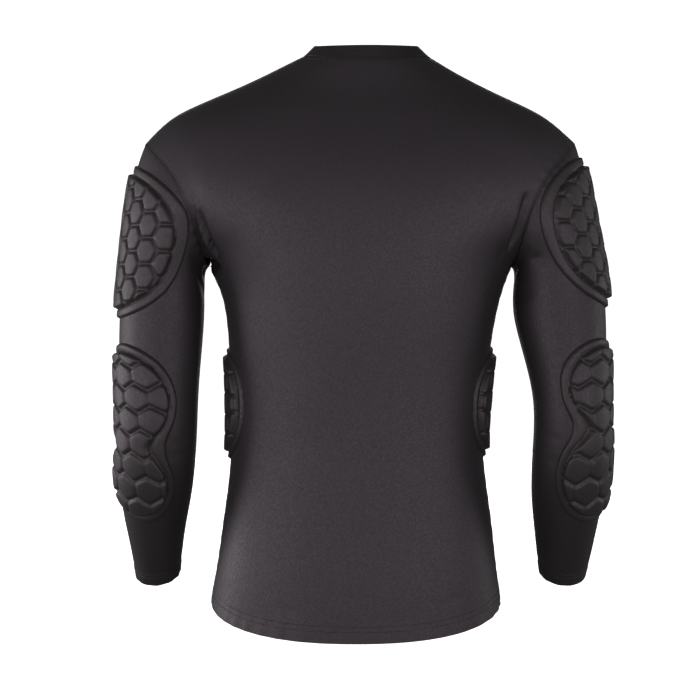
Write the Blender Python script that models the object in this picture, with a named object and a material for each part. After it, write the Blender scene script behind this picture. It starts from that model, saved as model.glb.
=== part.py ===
"""Padded compression shirt, long sleeved and crew necked, filled out as it is when worn.

Metres, +Z up. The chest faces +Y, the back faces -Y and the wearer's right arm is at +X.
The origin is level with the tops of the shoulders, in the middle of the neck hole.
"""

import math
from collections import namedtuple

import bpy
from mathutils import Vector
from mathutils.bvhtree import BVHTree
from mathutils.geometry import delaunay_2d_cdt

# Cloth and seams
CLOTH_WALL = 0.0015
BAND_WALL = 0.0020
SEAM_GAP = 0.0003

# Grid of the panels and sleeves
PANEL_COLUMNS = 24
SHOULDER_COLUMNS = 6
SLEEVE_POINTS = 24
HALVINGS = 30
ARMHOLE_STEPS = SLEEVE_POINTS // 2

# The body's level sections are superellipses of this power
BODY_POWER = 2.4
HEM_SAG_POWER = 2.2
NECKLINE_POWER = 2.2

# Heights that the cut is built from
HEM_SIDE = -0.619
HEM_BACK = -0.658
HEM_FRONT = -0.645
ARMPIT = -0.233
SHOULDER_POINT = -0.089
NECK_SIDE = 0.012
NECK_BACK = 0.002
NECK_FRONT = -0.075

# Between these heights the front moves over until its neckline hangs evenly from both shoulder seams
NECK_CENTRE_FROM = -0.120
NECK_CENTRE_TO = -0.020
LEVEL_ROWS = (-0.575, -0.530, -0.485, -0.440, -0.395, -0.350, -0.305, -0.265)
FIRST_ARMHOLE_ROW = 1 + len(LEVEL_ROWS)

# How the armhole rows bunch towards the shoulder seam, and how near an armhole they turn to follow it
SHOULDER_CROWDING = 1.6
WIDTH_FOLLOWING = 4
HEIGHT_FOLLOWING = 5

BodyRow = namedtuple("BodyRow", "height half_width back front centre_x")
BODY = (
    BodyRow(-0.665, 0.170, 0.116, 0.113, -0.005),
    BodyRow(-0.613, 0.168, 0.116, 0.114, -0.005),
    BodyRow(-0.573, 0.162, 0.114, 0.113, -0.004),
    BodyRow(-0.531, 0.157, 0.110, 0.110, -0.003),
    BodyRow(-0.489, 0.151, 0.105, 0.107, -0.003),
    BodyRow(-0.447, 0.146, 0.102, 0.106, -0.004),
    BodyRow(-0.388, 0.148, 0.103, 0.109, -0.002),
    BodyRow(-0.321, 0.153, 0.109, 0.117, 0.000),
    BodyRow(-0.264, 0.162, 0.113, 0.124, 0.002),
    BodyRow(-0.245, 0.168, 0.114, 0.126, 0.002),
    BodyRow(-0.233, 0.177, 0.114, 0.127, 0.000),
    BodyRow(-0.220, 0.190, 0.114, 0.127, 0.000),
    BodyRow(-0.200, 0.213, 0.113, 0.125, 0.000),
    BodyRow(-0.160, 0.252, 0.109, 0.117, 0.000),
    BodyRow(-0.125, 0.258, 0.103, 0.104, 0.000),
    BodyRow(-0.104, 0.256, 0.097, 0.094, 0.000),
    BodyRow(-0.089, 0.251, 0.093, 0.086, 0.000),
    BodyRow(-0.070, 0.235, 0.086, 0.074, -0.001),
    BodyRow(-0.056, 0.216, 0.081, 0.067, -0.001),
    BodyRow(-0.042, 0.185, 0.075, 0.060, -0.001),
    BodyRow(-0.028, 0.152, 0.070, 0.054, 0.001),
    BodyRow(-0.014, 0.123, 0.066, 0.050, 0.003),
    BodyRow(0.000, 0.096, 0.062, 0.048, 0.004),
    BodyRow(0.012, 0.075, 0.058, 0.046, 0.008),
)

ArmholeRow = namedtuple("ArmholeRow", "height back_x front_x")
ARMHOLE = (
    ArmholeRow(-0.233, 0.177, 0.177),
    ArmholeRow(-0.210, 0.183, 0.178),
    ArmholeRow(-0.185, 0.190, 0.182),
    ArmholeRow(-0.154, 0.201, 0.192),
    ArmholeRow(-0.125, 0.217, 0.210),
    ArmholeRow(-0.104, 0.238, 0.233),
    ArmholeRow(-0.089, 0.251, 0.251),
)

# Each sleeve ring runs from its outer point to its inner point, measured away from the middle
SleeveRow = namedtuple(
    "SleeveRow",
    "outer_z inner_z left_outer left_inner right_outer right_inner centre_y half_depth tilt",
)
SLEEVE = (
    SleeveRow(-0.089, -0.233, 0.251, 0.177, 0.251, 0.177, 0.000, 0.074, 0),
    SleeveRow(-0.112, -0.236, 0.260, 0.180, 0.259, 0.180, -0.001, 0.072, 0),
    SleeveRow(-0.138, -0.239, 0.265, 0.181, 0.264, 0.181, -0.002, 0.069, 0),
    SleeveRow(-0.165, -0.243, 0.269, 0.181, 0.269, 0.180, -0.003, 0.066, 0),
    SleeveRow(-0.193, -0.249, 0.272, 0.181, 0.274, 0.180, -0.004, 0.063, 0),
    SleeveRow(-0.222, -0.257, 0.275, 0.181, 0.280, 0.179, -0.005, 0.060, 0),
    SleeveRow(-0.252, -0.268, 0.278, 0.181, 0.285, 0.178, -0.006, 0.058, 0),
    SleeveRow(-0.290, -0.292, 0.281, 0.181, 0.287, 0.178, -0.009, 0.056, 0),
    SleeveRow(-0.330, -0.330, 0.281, 0.184, 0.287, 0.188, -0.013, 0.054, 2),
    SleeveRow(-0.370, -0.370, 0.279, 0.187, 0.286, 0.199, -0.018, 0.051, 5),
    SleeveRow(-0.405, -0.405, 0.278, 0.188, 0.286, 0.202, -0.020, 0.050, 9),
    SleeveRow(-0.440, -0.440, 0.280, 0.190, 0.288, 0.201, -0.016, 0.049, 15),
    SleeveRow(-0.475, -0.475, 0.282, 0.193, 0.288, 0.200, -0.004, 0.047, 22),
    SleeveRow(-0.507, -0.505, 0.281, 0.199, 0.285, 0.201, 0.011, 0.043, 27),
    SleeveRow(-0.540, -0.537, 0.276, 0.206, 0.280, 0.206, 0.029, 0.038, 30),
    SleeveRow(-0.568, -0.565, 0.272, 0.211, 0.276, 0.210, 0.045, 0.033, 30),
    SleeveRow(-0.597, -0.594, 0.269, 0.215, 0.271, 0.215, 0.062, 0.029, 30),
)

# The armhole's own shape fades out of the sleeve over this many rings
ARMHOLE_FADE_RINGS = 7
ARMHOLE_FADE_POWER = 1.5

# Neck band: how far its upper edge leans up from level, at three places round the neck
BAND_WIDTH = 0.017
BAND_STEPS = 3
BAND_RISE_BACK = 78
BAND_RISE_SIDE = 42
BAND_RISE_FRONT = 62

# Largest creases, in the armpits: a straight trough from start to end, seen from behind or in front
Crease = namedtuple("Crease", "face start_x start_z end_x end_z half_width depth")
CREASES = (
    Crease("back", -0.199, -0.176, -0.174, -0.226, 0.011, 0.0060),
    Crease("back", 0.197, -0.150, 0.180, -0.208, 0.010, 0.0045),
    Crease("back", 0.189, -0.224, 0.216, -0.230, 0.008, 0.0035),
    Crease("front", -0.192, -0.170, -0.176, -0.222, 0.011, 0.0050),
    Crease("front", 0.191, -0.165, 0.177, -0.218, 0.010, 0.0050),
)

CREASE_SEAM_HOLD = 0.030
CREASE_END_SHARE = 0.12

# Pads: a thin bonded flange with raised six-sided cells
PAD_SEAT_GAP = 0.0009
PAD_CLEARANCE = 0.0005
EASING_PASSES = 7
EASING_SAMPLES = (
    (0.34, 0.33, 0.33), (0.5, 0.5, 0.0), (0.0, 0.5, 0.5), (0.5, 0.0, 0.5),
    (0.7, 0.15, 0.15), (0.15, 0.7, 0.15), (0.15, 0.15, 0.7),
)
FLANGE_THICKNESS = 0.0024
CELL_HEIGHT = 0.0078
GROOVE = 0.0034
CELL_BEVEL = 0.0034
FLANGE_CHAMFER = 0.0012
UNDERSIDE_SPACING = 0.013
SMALLEST_CELL_SHARE = 0.18
NORMAL_REACH = 0.010
CELL_DRAW_IN = 0.93
PAD_GRID_REACH = 12
PAD_EDGE_REACH = 0.25

# Staggered cells of a pad: size is from middle to corner, start is where one of them sits
Cells = namedtuple("Cells", "size points_up squeeze start_p start_q flange")

# An oval pad: height and turn place its middle, lean tips its long way
OvalPad = namedtuple("OvalPad", "half_width half_height height turn lean cells")
PAD_OVAL_POWER = 2.4

SHOULDER_PADS = {
    "left": OvalPad(
        0.1273, 0.0881, -0.2035, 86.8, 6.9, Cells(0.0170, False, 0.855, 0.0055, 0.0157, 0.0095)
    ),
    "right": OvalPad(
        0.1273, 0.0878, -0.1932, 95.4, 0.3, Cells(0.0170, False, 0.855, 0.0065, 0.0095, 0.0095)
    ),
}
SHOULDER_PAD_EDGE_POINTS = 44
SHOULDER_ARM_RADIUS = 0.066
SHOULDER_AXIS_INSET = 0.050
SHOULDER_AXIS_BACK = 0.004

# An elbow pad: two round lobes, each turned round the arm, stretched on its back and front halves
ElbowPad = namedtuple(
    "ElbowPad",
    "upper_lobe lower_lobe spacing waist_blend upper_height upper_turn lower_turn "
    "back_stretch front_stretch cells",
)
ELBOW_PADS = {
    "left": ElbowPad(
        0.0589, 0.0469, 0.0897, 0.0302, -0.3799, 43.3, 26.5, 1.02, 1.25,
        Cells(0.0158, True, 1.0, -0.0165, -0.0473, 0.0088),
    ),
    "right": ElbowPad(
        0.0532, 0.0587, 0.0934, 0.0258, -0.3682, 49.8, 47.3, 1.05, 1.05,
        Cells(0.0166, True, 1.0, -0.0236, -0.0590, 0.0088),
    ),
}
ELBOW_PAD_EDGE_POINTS = 44
ELBOW_ARM_RADIUS = 0.048

RIB_PADS = {
    "left": OvalPad(
        0.0836, 0.0660, -0.3920, 7, 0.0, Cells(0.0160, True, 1.0, 0.0, 0.0, 0.0070)
    ),
    "right": OvalPad(
        0.0836, 0.0650, -0.3890, 7, 7.0, Cells(0.0160, True, 1.0, 0.0, 0.0, 0.0070)
    ),
}
RIB_PAD_EDGE_POINTS = 36
RIB_BODY_RADIUS = 0.155

# Finishes
KNIT_ROUGHNESS = 0.70
BAND_ROUGHNESS = 0.74
PAD_ROUGHNESS = 0.62
SMOOTH_SHADING_ANGLE = 35
BODY_CHARCOAL = (0.043, 0.038, 0.042)
SLEEVE_CHARCOAL = (0.040, 0.036, 0.038)
BAND_CHARCOAL = (0.027, 0.025, 0.026)
PAD_CHARCOAL = (0.048, 0.044, 0.046)


def smooth_value(table, key, column, at):
    """Value of a column where the key column has the given value, on a curve that never overshoots."""
    xs = [getattr(row, key) for row in table]
    ys = [getattr(row, column) for row in table]
    if xs[0] > xs[-1]:
        xs.reverse()
        ys.reverse()
    at = min(max(at, xs[0]), xs[-1])
    last = len(xs) - 2
    i = min(max(sum(x <= at for x in xs) - 1, 0), last)
    slopes = [(ys[k + 1] - ys[k]) / (xs[k + 1] - xs[k]) for k in range(len(xs) - 1)]

    def tangent(k):
        if k == 0 or k == len(xs) - 1:
            return slopes[min(k, last)]
        before, after = slopes[k - 1], slopes[k]
        return 0.0 if before * after <= 0 else 2 * before * after / (before + after)

    width = xs[i + 1] - xs[i]
    u = (at - xs[i]) / width
    start, end = ys[i], ys[i + 1]
    lift, fall = tangent(i) * width, tangent(i + 1) * width
    return (
        start * (1 + 2 * u) * (1 - u) ** 2
        + lift * u * (1 - u) ** 2
        + end * u * u * (3 - 2 * u)
        - fall * u * u * (1 - u)
    )


def body_value(column, height):
    return smooth_value(BODY, "height", column, height)


def creased(point, face):
    """The point pushed towards the inside where an armpit crease passes; the side seam stays put."""
    inward = 1 if face == "back" else -1
    hold = min(abs(point.y) / CREASE_SEAM_HOLD, 1)
    moved = point.copy()
    for crease in CREASES:
        if crease.face != face:
            continue
        along = Vector((crease.end_x - crease.start_x, crease.end_z - crease.start_z))
        offset = Vector((point.x - crease.start_x, point.z - crease.start_z))
        share = min(max(offset.dot(along) / along.length_squared, 0), 1)
        away = (offset - along * share).length / crease.half_width
        fade = math.sin(math.pi * (CREASE_END_SHARE + (1 - 2 * CREASE_END_SHARE) * share))
        moved.y += inward * hold * crease.depth * fade * math.exp(-away * away)
    return moved


def body_point(face, x, height):
    """Point of the back or front at a distance x from the body's middle line."""
    half_width = body_value("half_width", height)
    share = max(1 - abs(x / half_width) ** BODY_POWER, 0) ** (1 / BODY_POWER)
    centre = body_value("centre_x", height)
    if face == "back":
        return Vector((centre + x, -body_value("back", height) * share, height))
    nearness = (height - NECK_CENTRE_FROM) / (NECK_CENTRE_TO - NECK_CENTRE_FROM)
    shift = (body_value("centre_x", NECK_SIDE) - centre) * min(max(nearness, 0), 1) * share
    return Vector((centre + shift + x, body_value("front", height) * share, height))


def armhole_height(step):
    """Height of an armhole point, from the armpit at step 0 up to the shoulder point."""
    middle, reach = (ARMPIT + SHOULDER_POINT) / 2, (SHOULDER_POINT - ARMPIT) / 2
    return middle - reach * math.cos(math.pi * step / ARMHOLE_STEPS)


def ridge_height(x):
    """Height of the shoulder seam at a distance from the body's middle line."""
    low, high = SHOULDER_POINT, NECK_SIDE
    for _ in range(HALVINGS):
        middle = (low + high) / 2
        low, high = (middle, high) if body_value("half_width", middle) > abs(x) else (low, middle)
    return (low + high) / 2


def spread(half_width, height):
    """Distances from the middle line that space a row evenly in angle round the body's section."""
    whole = max(body_value("half_width", height), half_width)
    start = math.acos((half_width / whole) ** (BODY_POWER / 2))
    turns = [
        start + (math.pi - 2 * start) * k / PANEL_COLUMNS for k in range(PANEL_COLUMNS + 1)
    ]
    return [-math.copysign(abs(math.cos(t)) ** (2 / BODY_POWER), math.cos(t)) * whole for t in turns]


def sag(share, power):
    return max(1 - abs(share) ** power, 0) ** (1 / power)


def level_row(face, edge):
    """Row round the body below the armpit, lower in the middle the nearer it is to the hem."""
    hem = HEM_BACK if face == "back" else HEM_FRONT
    drop = (hem - HEM_SIDE) * ((edge - ARMPIT) / (HEM_SIDE - ARMPIT)) ** 2
    half_width = body_value("half_width", edge)
    return [
        body_point(face, x, edge + drop * sag(x / half_width, HEM_SAG_POWER))
        for x in spread(half_width, edge)
    ]


def top_line(face):
    """Shoulder seam, neckline and shoulder seam, as (distance from the middle line, height)."""
    neck = NECK_BACK if face == "back" else NECK_FRONT
    neck_half = body_value("half_width", NECK_SIDE)
    shoulder_half = body_value("half_width", SHOULDER_POINT)
    neck_columns = PANEL_COLUMNS - 2 * SHOULDER_COLUMNS
    line = []
    for k in range(SHOULDER_COLUMNS):
        x = shoulder_half + (neck_half - shoulder_half) * k / SHOULDER_COLUMNS
        line.append((-x, ridge_height(x)))
    for k in range(neck_columns + 1):
        share = -math.cos(math.pi * k / neck_columns)
        line.append((neck_half * share, NECK_SIDE + (neck - NECK_SIDE) * sag(share, NECKLINE_POWER)))
    return line + [(-x, z) for x, z in reversed(line[:SHOULDER_COLUMNS])]


def armhole_row(face, step):
    """Row between the two armholes; the last is the shoulder seams and the neckline."""
    edge = armhole_height(step)
    half_width = smooth_value(ARMHOLE, "height", face + "_x", edge)
    rise = 1 - (1 - step / ARMHOLE_STEPS) ** SHOULDER_CROWDING
    mix = rise * rise
    shoulder_half = body_value("half_width", SHOULDER_POINT)
    row = []
    for even_x, (top_x, top_z) in zip(spread(half_width, edge), top_line(face)):
        nearness = abs(top_x) / shoulder_half
        fitted = top_x * (1 + (half_width / shoulder_half - 1) * nearness**WIDTH_FOLLOWING)
        x = even_x + (fitted - even_x) * mix
        plain_edge = ARMPIT + (SHOULDER_POINT - ARMPIT) * rise
        follow = (edge - plain_edge) * nearness**HEIGHT_FOLLOWING
        row.append(body_point(face, x, ARMPIT + (top_z - ARMPIT) * rise + follow))
    return row


def panel_grid(face):
    """Rows of points on a panel, from the hem up to the shoulder seams and neckline."""
    levels = [level_row(face, edge) for edge in (HEM_SIDE,) + LEVEL_ROWS]
    return levels + [armhole_row(face, step) for step in range(ARMHOLE_STEPS + 1)]


def armhole_loop(side, back, front):
    """The armhole's points, from the shoulder point down the back to the armpit and up the front."""
    column = 0 if side == "left" else -1
    first, last = FIRST_ARMHOLE_ROW, FIRST_ARMHOLE_ROW + ARMHOLE_STEPS
    down = [back[i][column] for i in range(last, first, -1)]
    return down + [front[i][column] for i in range(first, last)]


def sleeve_frame(side, ring):
    """Middle of a sleeve ring, its half reach towards the outside and its half depth forwards."""
    row = SLEEVE[ring]
    away = -1 if side == "left" else 1
    outer = Vector((away * getattr(row, side + "_outer"), row.centre_y, row.outer_z))
    inner = Vector((away * getattr(row, side + "_inner"), row.centre_y, row.inner_z))
    tilt = math.radians(row.tilt)
    forward = Vector((0, math.cos(tilt), math.sin(tilt))) * row.half_depth
    return (outer + inner) / 2, (outer - inner) / 2, forward


def sleeve_grid(side, armhole):
    """Sleeve rings from the armhole to the cuff, each starting at the outside and going round the back."""
    grid = []
    first_middle, first_reach, first_forward = sleeve_frame(side, 0)
    for ring in range(len(SLEEVE)):
        middle, reach, forward = sleeve_frame(side, ring)
        keep = max(1 - ring / ARMHOLE_FADE_RINGS, 0) ** ARMHOLE_FADE_POWER
        points = []
        for k in range(SLEEVE_POINTS):
            turn = 2 * math.pi * k / SLEEVE_POINTS
            oval = middle + reach * math.cos(turn) - forward * math.sin(turn)
            plain = first_middle + first_reach * math.cos(turn) - first_forward * math.sin(turn)
            points.append(oval + (armhole[k] - plain) * keep)
        grid.append(points)
    return grid


def creased_panel(face, grid):
    return [[creased(point, face) for point in row] for row in grid]


def creased_sleeve(grid):
    return [
        [
            creased(point, "back" if k < ARMHOLE_STEPS else "front")
            for k, point in enumerate(ring)
        ]
        for ring in grid
    ]


def round_the_neck(back_row, front_row):
    """The neckline columns of two rows as one loop, from the left shoulder by the back."""
    start, end = SHOULDER_COLUMNS, PANEL_COLUMNS - SHOULDER_COLUMNS
    return back_row[start : end + 1] + front_row[end - 1 : start : -1]


def neck_grid(back, front):
    """Neck band rows from the neckline to its upper edge, round from the left shoulder by the back."""
    neckline = round_the_neck(back[-1], front[-1])
    centre = Vector((body_value("centre_x", NECK_SIDE), 0, 0))
    rows = []
    for step in range(BAND_STEPS + 1):
        reach = BAND_WIDTH * step / BAND_STEPS
        row = []
        for k, point in enumerate(neckline):
            inward = Vector((centre.x - point.x, centre.y - point.y, 0)).normalized()
            facing = -inward.y
            rise_end = BAND_RISE_FRONT if facing > 0 else BAND_RISE_BACK
            lean = math.radians(BAND_RISE_SIDE + (rise_end - BAND_RISE_SIDE) * facing * facing)
            standing = inward * math.cos(lean) + Vector((0, 0, math.sin(lean)))
            along = (neckline[(k + 1) % len(neckline)] - neckline[k - 1]).normalized()
            row.append(point + reach * (standing - along * standing.dot(along)).normalized())
        rows.append(row)
    return rows


def grid_normals(grid, closed, flip):
    rows, columns = len(grid), len(grid[0])
    normals = []
    for i in range(rows):
        line = []
        for j in range(columns):
            up, down = grid[min(i + 1, rows - 1)][j], grid[max(i - 1, 0)][j]
            if closed:
                after, before = grid[i][(j + 1) % columns], grid[i][j - 1]
            else:
                after, before = grid[i][min(j + 1, columns - 1)], grid[i][max(j - 1, 0)]
            normal = (after - before).cross(up - down).normalized()
            line.append(-normal if flip else normal)
        normals.append(line)
    return normals


def beyond_seam(face, side, panels, sleeve):
    """For each row of a panel, the first point past its side edge: on the other panel or the sleeve."""
    other = panels["front" if face == "back" else "back"]
    beside = 1 if side == "left" else -2
    points = []
    for i, row in enumerate(other):
        step = i - FIRST_ARMHOLE_ROW
        k = ARMHOLE_STEPS - step if face == "back" else ARMHOLE_STEPS + step
        points.append(sleeve[1][k % SLEEVE_POINTS] if step > 0 else row[beside])
    return points


def beyond_top(face, panels, band):
    """For each column of a panel, the first point past its top edge: other panel or neck band."""
    other = panels["front" if face == "back" else "back"]
    start, end = SHOULDER_COLUMNS, PANEL_COLUMNS - SHOULDER_COLUMNS
    points = list(other[-2])
    for k in range(start + 1, end):
        points[k] = band[1][k - start if face == "back" else start - k]
    return points


def panel_normals(face, panels, sleeves, band):
    """Normals of a panel, taken across its seams so that the walls of two pieces meet squarely."""
    left = beyond_seam(face, "left", panels, sleeves["left"])
    right = beyond_seam(face, "right", panels, sleeves["right"])
    wider = [[a] + row + [b] for a, row, b in zip(left, panels[face], right)]
    above = beyond_top(face, panels, band)
    wider.append([above[0]] + above + [above[-1]])
    return [line[1:-1] for line in grid_normals(wider, False, face == "front")[:-1]]


def band_normals(band, panels):
    """Normals of the neck band, taken across the neckline seam."""
    below = round_the_neck(panels["back"][-2], panels["front"][-2])
    return grid_normals([below] + band, True, False)[1:]


def sleeve_normals(side, panels, sleeve):
    """Normals of a sleeve, taken across the armhole seam."""
    beside = 1 if side == "left" else -2
    before = []
    for k in range(SLEEVE_POINTS):
        i = FIRST_ARMHOLE_ROW + abs(ARMHOLE_STEPS - k)
        back, front = panels["back"][i][beside], panels["front"][i][beside]
        if k in (0, ARMHOLE_STEPS):
            before.append((back + front) / 2)
        else:
            before.append(back if k < ARMHOLE_STEPS else front)
    return grid_normals([before] + sleeve, True, side == "left")[1:]


def pulled_back(grid, ends, sides):
    """The grid with its seam edges drawn back by half a seam gap: first and last rows, then columns."""
    half_gap = SEAM_GAP / 2
    moved = [[point.copy() for point in row] for row in grid]

    def draw(edge, beside):
        return edge + (beside - edge).normalized() * half_gap

    if "first" in ends:
        moved[0] = [draw(a, b) for a, b in zip(grid[0], grid[1])]
    if "last" in ends:
        moved[-1] = [draw(a, b) for a, b in zip(grid[-1], grid[-2])]
    if sides:
        for i, row in enumerate(grid):
            moved[i][0] = draw(moved[i][0], row[1])
            moved[i][-1] = draw(moved[i][-1], row[-2])
    return moved


def wall_mesh(grid, normals, closed, flip, thickness):
    """Vertices and faces of a wall with its outer face on the grid, closed all round its edges."""
    rows, columns = len(grid), len(grid[0])
    outer = [point for row in grid for point in row]
    inner = [
        point - normal * thickness
        for row, line in zip(grid, normals)
        for point, normal in zip(row, line)
    ]
    count = len(outer)
    faces = []

    def quad(a, b, c, d):
        faces.append((a, d, c, b) if flip else (a, b, c, d))

    spans = columns if closed else columns - 1
    for i in range(rows - 1):
        for j in range(spans):
            k = (j + 1) % columns
            a, b = i * columns + j, i * columns + k
            c, d = (i + 1) * columns + k, (i + 1) * columns + j
            quad(a, b, c, d)
            quad(count + d, count + c, count + b, count + a)
    for j in range(spans):
        k = (j + 1) % columns
        quad(k, j, count + j, count + k)
        top = (rows - 1) * columns
        quad(top + j, top + k, count + top + k, count + top + j)
    if not closed:
        for i in range(rows - 1):
            a, b = i * columns, (i + 1) * columns
            quad(a, b, count + b, count + a)
            a, b = a + columns - 1, b + columns - 1
            quad(b, a, count + a, count + b)
    return outer + inner, faces


def make_material(name, colour, roughness):
    material = bpy.data.materials.new(name)
    material.use_nodes = True
    shader = material.node_tree.nodes["Principled BSDF"]
    shader.inputs["Base Color"].default_value = (*colour, 1)
    shader.inputs["Roughness"].default_value = roughness
    shader.inputs["Metallic"].default_value = 0
    material.diffuse_color = (*colour, 1)
    return material


def make_object(name, vertices, faces, colour, roughness):
    mesh = bpy.data.meshes.new(name)
    mesh.from_pydata([tuple(v) for v in vertices], [], faces)
    mesh.validate()
    mesh.shade_smooth()
    mesh.set_sharp_from_angle(angle=math.radians(SMOOTH_SHADING_ANGLE))
    mesh.materials.append(make_material(name + "_finish", colour, roughness))
    piece = bpy.data.objects.new(name, mesh)
    bpy.context.scene.collection.objects.link(piece)
    return piece


def make_wall(name, grid, normals, closed, flip, thickness, finish):
    vertices, faces = wall_mesh(grid, normals, closed, flip, thickness)
    return make_object(name, vertices, faces, *finish)


def outer_tree(grids):
    """Search tree over the outer faces of some grids, each given as (grid, closed)."""
    vertices, faces = [], []
    for grid, closed in grids:
        start, columns = len(vertices), len(grid[0])
        vertices += [point for row in grid for point in row]
        for i in range(len(grid) - 1):
            for j in range(columns if closed else columns - 1):
                k = (j + 1) % columns
                a, b = start + i * columns, start + (i + 1) * columns
                faces += [(a + j, a + k, b + k), (a + j, b + k, b + j)]
    return BVHTree.FromPolygons(vertices, faces, all_triangles=True)


def shoulder_ray(side, p, q):
    """Level ray out of the upper arm's middle: p runs round towards the front, q upwards."""
    away = -1 if side == "left" else 1
    height = SHOULDER_PADS[side].height + q
    turn = math.radians(SHOULDER_PADS[side].turn) + p / SHOULDER_ARM_RADIUS
    outer = smooth_value(SLEEVE, "outer_z", side + "_outer", height)
    start = Vector((away * (outer - SHOULDER_AXIS_INSET), -SHOULDER_AXIS_BACK, height))
    return start, Vector((away * math.sin(turn), -math.cos(turn), 0))


def elbow_ray(side, p, q):
    """Ray square to the bent arm: p runs round towards the front, q up from the middle of the upper lobe."""
    away = -1 if side == "left" else 1
    pad = ELBOW_PADS[side]
    height, steps = pad.upper_height, 8
    for _ in range(steps):
        slope = math.radians(smooth_value(SLEEVE, "outer_z", "tilt", height))
        height += q / steps * math.cos(slope)
    share = -q / pad.spacing
    degrees = pad.upper_turn + (pad.lower_turn - pad.upper_turn) * share
    turn = math.radians(degrees) + p / ELBOW_ARM_RADIUS
    outer = smooth_value(SLEEVE, "outer_z", side + "_outer", height)
    inner = smooth_value(SLEEVE, "outer_z", side + "_inner", height)
    centre_y = smooth_value(SLEEVE, "outer_z", "centre_y", height)
    tilt = math.radians(smooth_value(SLEEVE, "outer_z", "tilt", height))
    start = Vector((away * (outer + inner) / 2, centre_y, height))
    back = Vector((0, -math.cos(tilt), -math.sin(tilt)))
    return start, Vector((away * math.sin(turn), 0, 0)) + back * math.cos(turn)


def rib_ray(side, p, q):
    """Level ray out of the body's middle: p runs round towards the front, q upwards."""
    away = -1 if side == "left" else 1
    height = RIB_PADS[side].height + q
    turn = math.radians(RIB_PADS[side].turn) + p / RIB_BODY_RADIUS
    start = Vector((body_value("centre_x", height), 0, height))
    return start, Vector((away * math.cos(turn), math.sin(turn), 0))


def laid_point(tree, ray, p, q, lift):
    """Point of the flat pattern laid on the cloth and moved out along the cloth's normal."""

    def touch(a, b):
        start, direction = ray(a, b)
        hit = tree.ray_cast(start, direction)[0]
        return hit if hit is not None else start

    round_step = touch(p + NORMAL_REACH, q) - touch(p - NORMAL_REACH, q)
    up_step = touch(p, q + NORMAL_REACH) - touch(p, q - NORMAL_REACH)
    normal = round_step.cross(up_step).normalized()
    if normal.dot(ray(p, q)[1]) < 0:
        normal.negate()
    return touch(p, q) + normal * lift


def oval_distance(pad):
    """Signed distance, near enough, from a full oval's edge: negative inside."""
    power = PAD_OVAL_POWER
    level, tip = math.cos(math.radians(pad.lean)), math.sin(math.radians(pad.lean))

    def distance(p, q):
        p, q = p * level + q * tip, q * level - p * tip
        size = abs(p / pad.half_width) ** power + abs(q / pad.half_height) ** power
        return (size ** (1 / power) - 1) * min(pad.half_width, pad.half_height)

    return distance


def peanut_distance(pad):
    """Signed distance, near enough, from an elbow pad's edge: two round lobes with a soft waist."""

    def distance(p, q):
        p = p / (pad.back_stretch if p < 0 else pad.front_stretch)
        upper = math.hypot(p, q) - pad.upper_lobe
        lower = math.hypot(p, q + pad.spacing) - pad.lower_lobe
        mix = min(max(0.5 + 0.5 * (lower - upper) / pad.waist_blend, 0), 1)
        return lower + (upper - lower) * mix - pad.waist_blend * mix * (1 - mix)

    return distance


def edge_points(distance, centre_q, inset, count):
    """Points where the signed distance equals minus the inset, going round once."""
    points = []
    for k in range(count):
        turn = 2 * math.pi * k / count
        low, high = 0.0, PAD_EDGE_REACH
        for _ in range(HALVINGS):
            reach = (low + high) / 2
            inside = distance(reach * math.cos(turn), centre_q + reach * math.sin(turn)) < -inset
            low, high = (reach, high) if inside else (low, reach)
        points.append((low * math.cos(turn), centre_q + low * math.sin(turn)))
    return points


def cell_centres(distance, cells):
    """Centres of the staggered six-sided cells that have enough of themselves inside the flange."""
    wide, tall = math.sqrt(3) * cells.size, 1.5 * cells.size
    for i in range(-PAD_GRID_REACH, PAD_GRID_REACH + 1):
        for j in range(-PAD_GRID_REACH, PAD_GRID_REACH + 1):
            along, across = (i + 0.5 * (j % 2)) * wide, j * tall
            p, q = (along, across) if cells.points_up else (across, along)
            p, q = cells.start_p + p * cells.squeeze, cells.start_q + q
            if distance(p, q) < -cells.flange - SMALLEST_CELL_SHARE * cells.size:
                yield p, q


def cell_corners(distance, centre, radius, cells):
    """Corners of a cell, those outside the flange's inner edge drawn in to it."""
    corners = []
    for k in range(6):
        turn = math.radians(60 * k + (30 if cells.points_up else 0))
        p, q = radius * math.cos(turn) * cells.squeeze, radius * math.sin(turn)
        while distance(centre[0] + p, centre[1] + q) > -cells.flange:
            p, q = p * CELL_DRAW_IN, q * CELL_DRAW_IN
        corners.append((centre[0] + p, centre[1] + q))
    return corners


def loop_edges(start, count):
    return [(start + k, start + (k + 1) % count) for k in range(count)]


def flat_triangles(points, edges, outline):
    """Triangles over the outline that keep all the given points and edges."""
    result = delaunay_2d_cdt([Vector(p) for p in points], edges, [outline], 1, 1e-7)
    if len(result[0]) != len(points):
        raise ValueError("cells of a pad cross each other")
    return result[2]


def eased_out(tree, lay, points, faces):
    """Underside laid on the cloth, each point lifted until the flat faces between them clear it."""
    lifts = [PAD_SEAT_GAP] * len(points)
    for _ in range(EASING_PASSES):
        laid = [lay(p, q, lift) for (p, q), lift in zip(points, lifts)]
        bases = [lay(p, q, 0) for p, q in points]
        for a, b, c in faces:
            for shares in EASING_SAMPLES:
                place = laid[a] * shares[0] + laid[b] * shares[1] + laid[c] * shares[2]
                outward = (laid[a] - bases[a] + laid[b] - bases[b] + laid[c] - bases[c]).normalized()
                nearest, normal = tree.find_nearest(place)[:2]
                if normal.dot(outward) < 0:
                    normal = -normal
                lack = PAD_CLEARANCE - (place - nearest).dot(normal)
                if lack > 0:
                    for corner in (a, b, c):
                        lifts[corner] = max(lifts[corner], (laid[corner] - bases[corner]).length + lack)
    return [lay(p, q, lift) for (p, q), lift in zip(points, lifts)], lifts


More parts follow.
